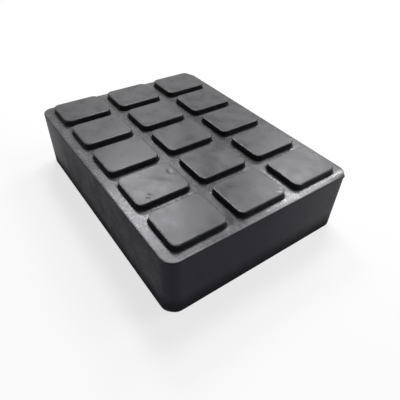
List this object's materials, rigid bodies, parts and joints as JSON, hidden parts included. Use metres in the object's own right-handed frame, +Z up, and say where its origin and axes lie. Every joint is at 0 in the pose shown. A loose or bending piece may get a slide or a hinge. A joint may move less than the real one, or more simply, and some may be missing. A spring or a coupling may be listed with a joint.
{
  "type": "car lift rubber pad",
  "caption": "Rectangular block of solid black rubber with rounded corners and a grid of low raised lugs on top, laid between a lift arm and a car's sill.",
  "frame": {"origin": "middle of the underside, on the plane it rests on", "axes": "+X along the length, the way a row of five lugs runs; +Y along the width; +Z up through the lugs"},
  "size_m": [0.16, 0.12, 0.042],
  "materials": {
    "rubber": "moulded black rubber, smooth on the lugs, finely grained and slightly glossy in the channels, satin on the sides"
  },
  "bodies": {
    "root": {"pad": "rubber"}
  },
  "joints": []
}
